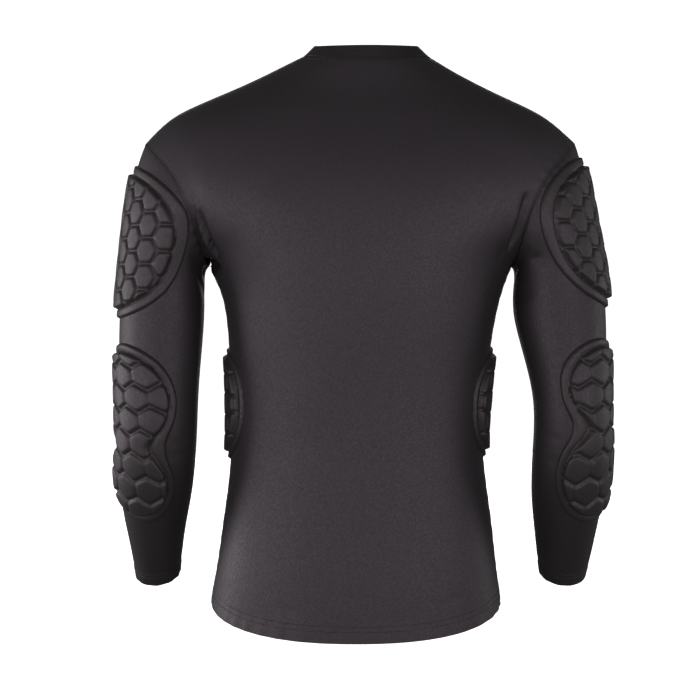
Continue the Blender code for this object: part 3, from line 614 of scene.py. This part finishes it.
def pad_lift(p, q, edge, cells):
    """Height of the pad's face over the cloth."""
    inside = -edge(p, q)
    rim = np.clip(inside / FLANGE_ROUNDING, 0, 1)
    across = np.clip(inside / cells.flange, 0, 1)
    bead = np.sqrt(1 - np.abs(2 * across - 1) ** cells.flange_power)
    edge_rise = FLANGE_EDGE_SHARE * np.sqrt(1 - (1 - rim) ** 2)
    flange = FLANGE_LIFT * (edge_rise + (1 - FLANGE_EDGE_SHARE) * bead)
    within = inside - cells.flange - GROOVE / 2
    depth = soft_least(cell_depth(p, q, cells), within, CELL_EDGE_BLEND)
    rise = np.clip(depth / CELL_SHOULDER, 0, 1)
    dome = CELL_DOME * np.clip(depth / (0.8 * cells.size), 0, 1)
    crown = (1 - CELL_DOME) * (1 - (1 - rise) ** CELL_ROUNDING) + dome
    step = np.clip(within / PAD_STEP, 0, 1)
    low = FLANGE_EDGE_SHARE * FLANGE_LIFT
    floor = (GROOVE_FLOOR - low) * step * step * (3 - 2 * step)
    return flange + floor + (CELL_LIFT - low - floor) * crown


def make_pad(name, side, ray, tree, edge, half_size, centre_q, cells):
    """A pad from a flat grid trimmed to its outline, laid on the cloth and raised into cells."""
    wide, tall = half_size
    only_nothing()
    bpy.ops.mesh.primitive_grid_add(
        x_subdivisions=round(2 * wide / PAD_SPACING),
        y_subdivisions=round(2 * tall / PAD_SPACING),
        size=2,
        location=(0, 0, 0),
    )
    sheet = bpy.context.object
    flat = places_of(sheet.data) * (wide, tall, 0) + (0, centre_q, 0)
    set_places(sheet.data, flat)
    outside = edge(flat[:, 0], flat[:, 1]) > -PAD_TRIM_SHARE * PAD_SPACING
    bpy.ops.object.mode_set(mode="EDIT")
    bpy.ops.mesh.select_mode(type="VERT")
    bpy.ops.mesh.select_all(action="DESELECT")
    bpy.ops.object.mode_set(mode="OBJECT")
    sheet.data.vertices.foreach_set("select", outside)
    bpy.ops.object.mode_set(mode="EDIT")
    bpy.ops.mesh.delete(type="VERT")
    bpy.ops.object.mode_set(mode="OBJECT")

    mesh = sheet.data
    flat = places_of(mesh)
    p, q = flat[:, 0].copy(), flat[:, 1].copy()
    faces = [tuple(face.vertices) for face in mesh.polygons]
    rim = rim_order(faces)
    for _ in range(3):
        gap = edge(p[rim], q[rim])
        slope_p = (edge(p[rim] + SLOPE_STEP, q[rim]) - gap) / SLOPE_STEP
        slope_q = (edge(p[rim], q[rim] + SLOPE_STEP) - gap) / SLOPE_STEP
        steep = slope_p**2 + slope_q**2
        p[rim] -= gap * slope_p / steep
        q[rim] -= gap * slope_q / steep

    starts, directions = ray(side, p, q)
    base = [
        tree.ray_cast(Vector(start), Vector(direction))[0] or start
        for start, direction in zip(starts, directions)
    ]
    set_places(mesh, np.array([tuple(place) for place in base]))
    normals = normals_of(mesh)
    if (normals * directions).sum() < 0:
        normals = -normals
        faces = [tuple(reversed(face)) for face in faces]
        rim = rim[::-1]
    base = places_of(mesh)
    bpy.data.objects.remove(sheet)

    lift = PAD_SEAT + pad_lift(p, q, edge, cells)
    count = len(base)
    top, under = base + normals * lift[:, None], base + normals * PAD_SEAT * 0.5
    faces = faces + [tuple(count + k for k in reversed(face)) for face in faces]
    for a, b in zip(rim, rim[1:] + rim[:1]):
        faces.append((b, a, count + a, count + b))
    piece = new_object(name, mesh_from(name, np.concatenate([top, under]), faces))
    only(piece)
    bpy.ops.object.shade_smooth_by_angle(angle=math.radians(80))
    return piece


def rim_order(faces):
    """The outline of a patch of faces as one loop of point numbers, the faces on its left."""
    onward = {}
    sides = {(a, b) for face in faces for a, b in zip(face, face[1:] + face[:1])}
    for a, b in sides:
        if (b, a) not in sides:
            onward[a] = b
    start = min(onward)
    loop = [start]
    while onward[loop[-1]] != start:
        loop.append(onward[loop[-1]])
    return loop


# Stitching


def spaced(line, pitch):
    """Points at an even pitch along a line of points."""
    points = np.array([tuple(p) for p in line])
    reach = np.concatenate([[0], np.cumsum(np.linalg.norm(np.diff(points, axis=0), axis=1))])
    at = np.linspace(0, reach[-1], max(int(reach[-1] / pitch), 2))
    return np.stack([np.interp(at, reach, points[:, k]) for k in range(3)], axis=1)


def beside_line(line, tree, offset, inward):
    """A line moved sideways over the cloth. inward gives, for a point, a place on the wanted side."""
    moved = []
    count = len(line)
    for k, place in enumerate(line):
        place = Vector(place)
        before, after = Vector(line[max(k - 1, 0)]), Vector(line[min(k + 1, count - 1)])
        normal = tree.find_nearest(place)[1]
        across = (after - before).cross(normal).normalized()
        if across.dot(Vector(inward(place)) - place) < 0:
            across.negate()
        moved.append(tree.find_nearest(place + across * offset)[0])
    return moved


def add_stitches(store, pairs, tree):
    """Adds a slim six-sided stitch between each pair of places, lying on the cloth."""
    points, faces = store
    for a, b in pairs:
        a, b = Vector(a), Vector(b)
        hit = tree.find_nearest((a + b) / 2)
        normal = hit[1]
        along = b - a
        across = along.cross(normal).normalized() * STITCH_WIDTH / 2
        middle = hit[0] + normal * STITCH_SEAT
        half = along * STITCH_HALF_SHARE
        s = len(points)
        points += [middle - half, middle + half]
        for share in (-0.5, 0.5):
            points.append(middle + half * share - across)
            points.append(middle + half * share + normal * STITCH_RISE)
            points.append(middle + half * share + across)
        faces += [
            (s, s + 3, s + 2), (s, s + 4, s + 3), (s, s + 2, s + 4),
            (s + 2, s + 3, s + 6, s + 5), (s + 3, s + 4, s + 7, s + 6), (s + 4, s + 2, s + 5, s + 7),
            (s + 1, s + 5, s + 6), (s + 1, s + 6, s + 7), (s + 1, s + 7, s + 5),
        ]


def running(store, line, tree, pitch):
    row = spaced(line, pitch)
    add_stitches(store, zip(row[:-1], row[1:]), tree)


def flatlock(store, line, tree, inward):
    """Two rows beside a flat seam, with threads crossing between them."""
    rows = []
    for offset in (-FLATLOCK_REACH, FLATLOCK_REACH):
        rows.append(spaced(beside_line(line, tree, offset, inward), FLATLOCK_PITCH))
    count = min(len(row) for row in rows)
    for row in rows:
        add_stitches(store, zip(row[:-1], row[1:]), tree)
    crossing = [(rows[k % 2][k], rows[(k + 1) % 2][k + 1]) for k in range(count - 1)]
    add_stitches(store, crossing, tree)


# Finishes


def add_node(tree, kind, place, **settings):
    node = tree.nodes.new(kind)
    node.location = place
    for key, value in settings.items():
        setattr(node, key, value)
    return node


def knit_group():
    """Fine stretch knit: a mask of light and dark stitches, a slow unevenness and a surface height."""
    group = bpy.data.node_groups.new("stretch_knit", "ShaderNodeTree")
    for name, value in (("Stitches per metre", 900.0), ("Unevenness", 0.5)):
        socket = group.interface.new_socket(name=name, in_out="INPUT", socket_type="NodeSocketFloat")
        socket.default_value = value
    for name in ("Stitch mask", "Slow mask", "Height"):
        group.interface.new_socket(name=name, in_out="OUTPUT", socket_type="NodeSocketFloat")
    source = add_node(group, "NodeGroupInput", (-900, 0))
    result = add_node(group, "NodeGroupOutput", (700, 0))
    place = add_node(group, "ShaderNodeTexCoord", (-900, -200))
    upright = add_node(group, "ShaderNodeMapping", (-680, 120))
    upright.inputs["Scale"].default_value = (1.0, 1.0, 0.38)
    level = add_node(group, "ShaderNodeMapping", (-680, -160))
    level.inputs["Scale"].default_value = (0.42, 0.42, 1.0)
    wales = add_node(group, "ShaderNodeTexNoise", (-440, 160))
    wales.inputs["Detail"].default_value = 1.0
    courses = add_node(group, "ShaderNodeTexNoise", (-440, -100))
    courses.inputs["Detail"].default_value = 0.5
    slow = add_node(group, "ShaderNodeTexNoise", (-440, -380))
    slow.inputs["Scale"].default_value = 9.0
    slow.inputs["Detail"].default_value = 3.0
    both = add_node(group, "ShaderNodeMath", (-200, 60), operation="MULTIPLY")
    sharp = add_node(group, "ShaderNodeMapRange", (0, 60))
    sharp.inputs["From Min"].default_value = 0.16
    sharp.inputs["From Max"].default_value = 0.36
    centred = add_node(group, "ShaderNodeMath", (-200, -380), operation="SUBTRACT")
    centred.inputs[1].default_value = 0.5
    uneven = add_node(group, "ShaderNodeMath", (0, -380), operation="MULTIPLY")
    link = group.links.new
    link(place.outputs["Object"], upright.inputs["Vector"])
    link(place.outputs["Object"], level.inputs["Vector"])
    link(place.outputs["Object"], slow.inputs["Vector"])
    link(upright.outputs["Vector"], wales.inputs["Vector"])
    link(level.outputs["Vector"], courses.inputs["Vector"])
    link(source.outputs["Stitches per metre"], wales.inputs["Scale"])
    link(source.outputs["Stitches per metre"], courses.inputs["Scale"])
    link(wales.outputs["Fac"], both.inputs[0])
    link(courses.outputs["Fac"], both.inputs[1])
    link(both.outputs["Value"], sharp.inputs["Value"])
    link(slow.outputs["Fac"], centred.inputs[0])
    link(centred.outputs["Value"], uneven.inputs[0])
    link(source.outputs["Unevenness"], uneven.inputs[1])
    link(sharp.outputs["Result"], result.inputs["Stitch mask"])
    link(uneven.outputs["Value"], result.inputs["Slow mask"])
    link(both.outputs["Value"], result.inputs["Height"])
    return group


def knit_finish(name, group, colour, roughness, gloss, stitches, relief, slow_relief):
    """A knit: colour and roughness vary with its stitches, and the stitches stand up a little."""
    material = bpy.data.materials.new(name)
    material.use_nodes = True
    tree = material.node_tree
    shader = tree.nodes["Principled BSDF"]
    shader.inputs["Metallic"].default_value = 0
    shader.inputs["Sheen Weight"].default_value = SHEEN
    shader.inputs["Sheen Roughness"].default_value = 0.45
    shader.inputs["Sheen Tint"].default_value = (0.86, 0.83, 0.86, 1)
    shader.inputs["Specular IOR Level"].default_value = gloss
    shader.inputs["Specular Tint"].default_value = SPECULAR_TINT
    knit = add_node(tree, "ShaderNodeGroup", (-900, 0))
    knit.node_tree = group
    knit.inputs["Stitches per metre"].default_value = stitches
    shade = add_node(tree, "ShaderNodeMix", (-480, 200), data_type="RGBA")
    dark = tuple(c * 0.80 for c in colour[:3]) + (1,)
    light = tuple(min(c * 1.16, 1) for c in colour[:3]) + (1,)
    shade.inputs[MIX_FIRST].default_value = dark
    shade.inputs[MIX_SECOND].default_value = light
    drift = add_node(tree, "ShaderNodeMath", (-680, 200), operation="ADD", use_clamp=True)
    rough = add_node(tree, "ShaderNodeMapRange", (-480, -40))
    rough.inputs["To Min"].default_value = roughness + 0.06
    rough.inputs["To Max"].default_value = roughness - 0.06
    fine = add_node(tree, "ShaderNodeBump", (-260, -260))
    fine.inputs["Strength"].default_value = relief
    fine.inputs["Distance"].default_value = 0.0003
    broad = add_node(tree, "ShaderNodeBump", (-460, -420))
    broad.inputs["Strength"].default_value = slow_relief
    broad.inputs["Distance"].default_value = 0.004
    link = tree.links.new
    link(knit.outputs["Stitch mask"], drift.inputs[0])
    link(knit.outputs["Slow mask"], drift.inputs[1])
    link(drift.outputs["Value"], shade.inputs[0])
    link(shade.outputs[MIX_RESULT], shader.inputs["Base Color"])
    link(knit.outputs["Stitch mask"], rough.inputs["Value"])
    link(rough.outputs["Result"], shader.inputs["Roughness"])
    link(knit.outputs["Slow mask"], broad.inputs["Height"])
    link(broad.outputs["Normal"], fine.inputs["Normal"])
    link(knit.outputs["Height"], fine.inputs["Height"])
    link(fine.outputs["Normal"], shader.inputs["Normal"])
    return material


def thread_finish():
    """Polyester thread: a faint twist along each stitch."""
    material = bpy.data.materials.new("thread")
    material.use_nodes = True
    tree = material.node_tree
    shader = tree.nodes["Principled BSDF"]
    shader.inputs["Roughness"].default_value = 0.5
    place = add_node(tree, "ShaderNodeTexCoord", (-800, 0))
    twist = add_node(tree, "ShaderNodeTexWave", (-600, 0), bands_direction="DIAGONAL")
    twist.inputs["Scale"].default_value = 700
    shade = add_node(tree, "ShaderNodeMix", (-380, 100), data_type="RGBA")
    shade.inputs[MIX_FIRST].default_value = tuple(c * 0.8 for c in THREAD_CHARCOAL[:3]) + (1,)
    shade.inputs[MIX_SECOND].default_value = THREAD_CHARCOAL
    tree.links.new(place.outputs["Object"], twist.inputs["Vector"])
    tree.links.new(twist.outputs["Fac"], shade.inputs[0])
    tree.links.new(shade.outputs[MIX_RESULT], shader.inputs["Base Color"])
    return material


def stage_finish():
    material = bpy.data.materials.new("studio_white")
    material.use_nodes = True
    shader = material.node_tree.nodes["Principled BSDF"]
    shader.inputs["Base Color"].default_value = STAGE_WHITE
    shader.inputs["Roughness"].default_value = 0.9
    shader.inputs["Emission Color"].default_value = (1, 1, 1, 1)
    shader.inputs["Emission Strength"].default_value = 1.0
    return material


def make_stage():
    """Pale floor that sweeps up into a pale wall."""
    only_nothing()
    bpy.ops.mesh.primitive_plane_add(size=1, location=(0, 0, 0))
    floor = bpy.context.object
    floor.name = "studio_sweep"
    set_places(floor.data, places_of(floor.data) * SWEEP_SIZE + (0, 0, SWEEP_FLOOR))
    bpy.ops.object.mode_set(mode="EDIT")
    bpy.ops.mesh.select_mode(type="EDGE")
    bpy.ops.mesh.select_all(action="DESELECT")
    bpy.ops.object.mode_set(mode="OBJECT")
    for edge in floor.data.edges:
        edge.select = all(floor.data.vertices[k].co.y > 0 for k in edge.vertices)
    bpy.ops.object.mode_set(mode="EDIT")
    bpy.ops.mesh.extrude_region_move(TRANSFORM_OT_translate={"value": (0, 0.01, SWEEP_WALL)})
    bpy.ops.object.mode_set(mode="OBJECT")
    apply_modifier(floor, "BEVEL", width=SWEEP_BEND, segments=12, limit_method="ANGLE")
    only(floor)
    bpy.ops.object.shade_smooth()
    floor.data.materials.append(stage_finish())
    floor.visible_glossy = False
    floor.visible_diffuse = False


def add_light(name, place, aim, size, power):
    lamp = bpy.data.lights.new(name, "AREA")
    lamp.shape = "RECTANGLE"
    lamp.size, lamp.size_y = size
    lamp.energy = power
    item = new_object(name, lamp)
    item.location = place
    item.rotation_euler = (Vector(aim) - Vector(place)).to_track_quat("-Z", "Y").to_euler()


def make_studio():
    make_stage()
    for light in LIGHTS:
        turn, height = math.radians(light.turn), STUDIO_MIDDLE[2] + light.height
        place = (light.distance * math.sin(turn), -light.distance * math.cos(turn), height)
        add_light(light.name, place, STUDIO_MIDDLE, light.size, light.power)
    world = bpy.data.worlds.new("soft_room")
    world.use_nodes = True
    backdrop = world.node_tree.nodes["Background"]
    backdrop.inputs["Color"].default_value = (1, 1, 1, 1)
    seen = add_node(world.node_tree, "ShaderNodeLightPath", (-500, 0))
    brightness = add_node(world.node_tree, "ShaderNodeMapRange", (-300, 0))
    brightness.inputs["To Min"].default_value = WORLD_STRENGTH
    world.node_tree.links.new(seen.outputs["Is Camera Ray"], brightness.inputs["Value"])
    world.node_tree.links.new(brightness.outputs["Result"], backdrop.inputs["Strength"])
    bpy.context.scene.world = world
    bpy.context.scene.view_settings.view_transform = "Standard"
    lens = bpy.data.cameras.new("camera")
    lens.sensor_width = CAMERA_SENSOR
    lens.lens = CAMERA_LENS
    camera = new_object("camera", lens)
    camera.location = CAMERA_PLACE
    camera.rotation_euler = (math.radians(90), 0, 0)
    bpy.context.scene.camera = camera


# The shirt

# Runs of the pieces' open edges, by piece or by side
Edges = namedtuple("Edges", "hems armholes cuffs sides shoulders necks")


def make_cloth():
    """The outer faces of the cloth pieces, smoothed and closed up where they meet."""
    cloth = {}
    for node in ("back", "front", "sleeve_left", "sleeve_right"):
        cloth[node] = outer_face(node, node + "_cloth", RIM_EDGE["cloth"])
        smoothed(cloth[node], CLOTH_LEVELS)
    band = outer_face("neck_band", "neck_band_cloth", RIM_EDGE["band"])
    smoothed(band, CLOTH_LEVELS)
    meet_neighbours(cloth["front"], tree_of(cloth["back"]))
    meet_neighbours(band, tree_of(cloth["back"], cloth["front"]))
    return cloth, band


def make_oval_pad(kind, side, ray, tree, pad):
    reach = (OVAL_GRID_SHARE * pad.half_width, OVAL_GRID_SHARE * pad.half_height)
    return make_pad(kind + side + "_cells", side, ray, tree, oval_edge(pad), reach, 0, pad.cells)


def make_elbow_pad(side, tree, pad):
    reach = (
        pad.front_stretch * max(pad.upper_lobe, pad.lower_lobe),
        (pad.upper_lobe + pad.lower_lobe + pad.spacing) / 2,
    )
    middle = (pad.upper_lobe - pad.lower_lobe - pad.spacing) / 2
    name = "elbow_pad_" + side + "_cells"
    return make_pad(name, side, elbow_ray, tree, peanut_edge(pad), reach, middle, pad.cells)


def make_pads(cloth):
    """The six pads, laid on the cloth while it is smooth."""
    body = tree_of(cloth["back"], cloth["front"])
    pads = {}
    for side in SIDES:
        arm = tree_of(cloth["sleeve_" + side], cloth["back"], cloth["front"])
        pads["shoulder_pad_" + side] = make_oval_pad(
            "shoulder_pad_", side, shoulder_ray, arm, SHOULDER_PADS[side]
        )
        pads["elbow_pad_" + side] = make_elbow_pad(side, arm, ELBOW_PADS[side])
        pads["rib_pad_" + side] = make_oval_pad("rib_pad_", side, rib_ray, body, RIB_PADS[side])
    return pads


def between(low, value, high):
    return low < value < high


def find_edges(cloth):
    """Picks the hems, cuffs and seams out of the pieces' open edges."""
    edges = Edges({}, {}, {}, {}, {}, {})
    for face in ("back", "front"):
        loop = max(edge_loops(cloth[face].data), key=len)
        edges.hems[face] = run_of(loop, lambda c: c.z < HEM_SIDE + EDGE_SLACK)
        for side, away in SIDES.items():
            bottom, top = SIDE_SEAM_HEIGHTS
            edges.sides[face, side] = run_of(
                loop, lambda c: c.x * away > BODY_SIDE_X and between(bottom, c.z, top)
            )
            bottom, top = ARMHOLE_HEIGHTS
            edges.armholes[face, side] = run_of(
                loop, lambda c: c.x * away > BODY_SIDE_X and between(bottom, c.z, top)
            )
            corner = NECK_CORNER_X[side] * away - EDGE_SLACK
            edges.shoulders[face, side] = run_of(
                loop, lambda c: c.x * away > corner and c.z > SHOULDER_SEAM_BOTTOM
            )
        edges.necks[face] = run_of(
            loop,
            lambda c: abs(c.x - NECK_MIDDLE_X) < NECKLINE_HALF_WIDTH and c.z > NECKLINE_BOTTOM,
        )
    for side in SIDES:
        loops = edge_loops(cloth["sleeve_" + side].data)
        cuff = min(loops, key=lambda loop: loop[0].z)
        edges.cuffs[side] = cuff + cuff[:1]
    return edges


def shape_edges(cloth, edges):
    """Turns up the hem and the cuffs, and gathers the cloth a little beside each seam."""
    for face in ("back", "front"):
        turn_up(cloth[face], edges.hems[face], HEM_DEPTH)
        gather(cloth[face], edges.hems[face], HEM_GATHERS)
        for side in SIDES:
            gather(cloth[face], edges.armholes[face, side], ARMHOLE_GATHERS)
            gather(cloth[face], edges.sides[face, side], SIDE_GATHERS)
            gather(cloth[face], edges.shoulders[face, side], SHOULDER_GATHERS)
    for side in SIDES:
        piece = cloth["sleeve_" + side]
        turn_up(piece, edges.cuffs[side], CUFF_DEPTH)
        gather(piece, edges.cuffs[side], CUFF_GATHERS)
        for face in ("back", "front"):
            gather(piece, edges.armholes[face, side], ARMHOLE_GATHERS)


# Places on the inner side of a seam, for beside_line


def to_middle(place):
    return Vector((0, 0, -0.3))


def to_top(place):
    return Vector((0, 0, 9))


def to_neck_axis(place):
    return Vector((NECK_MIDDLE_X, 0, place.z))


def to_front(place):
    return Vector((place.x, 9, place.z))


def sew_body(stitches, cloth, smooth_trees, edges, tree):
    """Cover stitch round the hem, and flatlock at the neck, armholes and shoulder seams."""
    for face in ("back", "front"):
        for row in COVER_ROWS:
            hem = spaced(edges.hems[face], SEAM_SPACING)
            line = beside_line(hem, smooth_trees[face], row, to_middle)
            running(stitches, line, tree_of(cloth[face]), COVER_PITCH)
        flatlock(stitches, spaced(edges.necks[face], SEAM_SPACING), tree, to_neck_axis)
        for side in SIDES:
            flatlock(stitches, spaced(edges.armholes[face, side], SEAM_SPACING), tree, to_middle)
            flatlock(stitches, spaced(edges.shoulders[face, side], SEAM_SPACING), tree, to_front)


def sew_side(stitches, side, sleeve, edges, tree):
    """Flatlock at the side seam and under the arm, and cover stitch round the cuff."""
    flatlock(stitches, spaced(edges.sides["back", side], SEAM_SPACING), tree, to_front)
    arm = tree_of(sleeve)
    centres, outwards = arm_place(side, np.linspace(*UNDERARM_SEAM_HEIGHTS, 84))[:2]
    seam = [
        arm.ray_cast(Vector(centre), Vector(-outward))[0]
        for centre, outward in zip(centres, outwards)
    ]
    flatlock(stitches, seam, arm, to_front)
    for row in CUFF_ROWS:
        line = beside_line(spaced(edges.cuffs[side], CUFF_SPACING), arm, row, to_top)
        running(stitches, line, arm, COVER_PITCH)


def sew_band_join(stitches, tree):
    """A short row up the neck band, where its ends are joined."""
    join = [
        tree.ray_cast(Vector((BAND_JOIN_X, -0.5, height)), Vector((0, 1, 0)))[0]
        for height in np.linspace(*BAND_JOIN_HEIGHTS, 6)
    ]
    running(stitches, join, tree, COVER_PITCH)


def make_shirt():
    """The cloth pieces, band, pads and stitching. Seams are found on the folded cloth."""
    cloth, band = make_cloth()
    pads = make_pads(cloth)
    smooth_trees = {node: tree_of(piece) for node, piece in cloth.items()}
    for node, piece in cloth.items():
        fold_cloth(piece, node, smooth_trees[node])
    edges = find_edges(cloth)
    shape_edges(cloth, edges)

    stitches = ([], [])
    all_cloth = tree_of(*cloth.values(), band)
    sew_body(stitches, cloth, smooth_trees, edges, all_cloth)
    for side in SIDES:
        sew_side(stitches, side, cloth["sleeve_" + side], edges, all_cloth)
    sew_band_join(stitches, all_cloth)

    for piece in cloth.values():
        thickened(piece, KNIT_THICKNESS)
    thickened(band, BAND_THICKNESS)
    stitching = new_object("seam_stitching", mesh_from("seam_stitching", *stitches))
    return cloth, band, pads, stitching


def dress(piece, material, slot, *nodes):
    piece.data.materials.clear()
    piece.data.materials.append(material)
    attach(piece, "root")
    if nodes:
        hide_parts(*nodes)


cloth, band, pads, stitching = make_shirt()
group = knit_group()
body_knit = knit_finish("body_knit", group, BODY_CHARCOAL, 0.58, 0.85, 900, 0.25, 0.10)
sleeve_knit = knit_finish("sleeve_knit", group, SLEEVE_CHARCOAL, 0.58, 0.80, 900, 0.25, 0.10)
band_knit = knit_finish("band_rib", group, BAND_CHARCOAL, 0.62, 0.60, 620, 0.40, 0.05)
pad_knit = knit_finish("pad_skin", group, PAD_CHARCOAL, 0.56, 0.85, 900, 0.22, 0.05)
thread = thread_finish()

for node, piece in cloth.items():
    sleeve = node.startswith("sleeve")
    material, slot = (sleeve_knit, "knit_sleeve") if sleeve else (body_knit, "knit_body")
    dress(piece, material, slot, node)
dress(band, band_knit, "knit_band", "neck_band")
for node, piece in pads.items():
    dress(piece, pad_knit, "pad_skin", node)
dress(stitching, thread, "knit_body")

make_studio()
